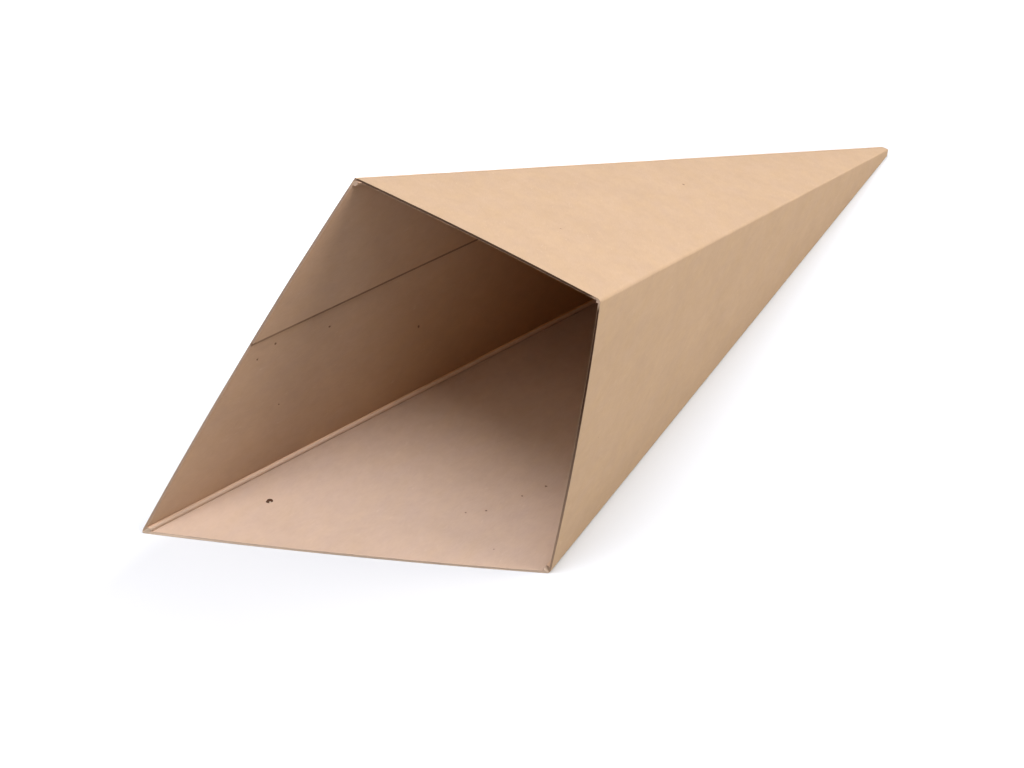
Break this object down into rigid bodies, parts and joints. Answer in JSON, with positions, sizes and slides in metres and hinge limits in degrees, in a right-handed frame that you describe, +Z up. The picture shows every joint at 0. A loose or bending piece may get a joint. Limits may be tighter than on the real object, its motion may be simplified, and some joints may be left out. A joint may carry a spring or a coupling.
{
  "type": "paper fries cone",
  "caption": "Square kraft-board cone, folded and glued from a single sheet, with one tall back corner, to hold fries or other snacks.",
  "frame": {"origin": "on the floor, under the middle of the cone's bounding box as it lies", "axes": "+Z up; +X from the open mouth to the closed tip along the floor panel; +Y towards the tall back corner and the glued back panel"},
  "size_m": [0.1822, 0.061, 0.0526],
  "materials": {
    "kraft_board": "matte"
  },
  "bodies": {
    "root": {"paper_cone": "kraft_board"}
  },
  "joints": []
}
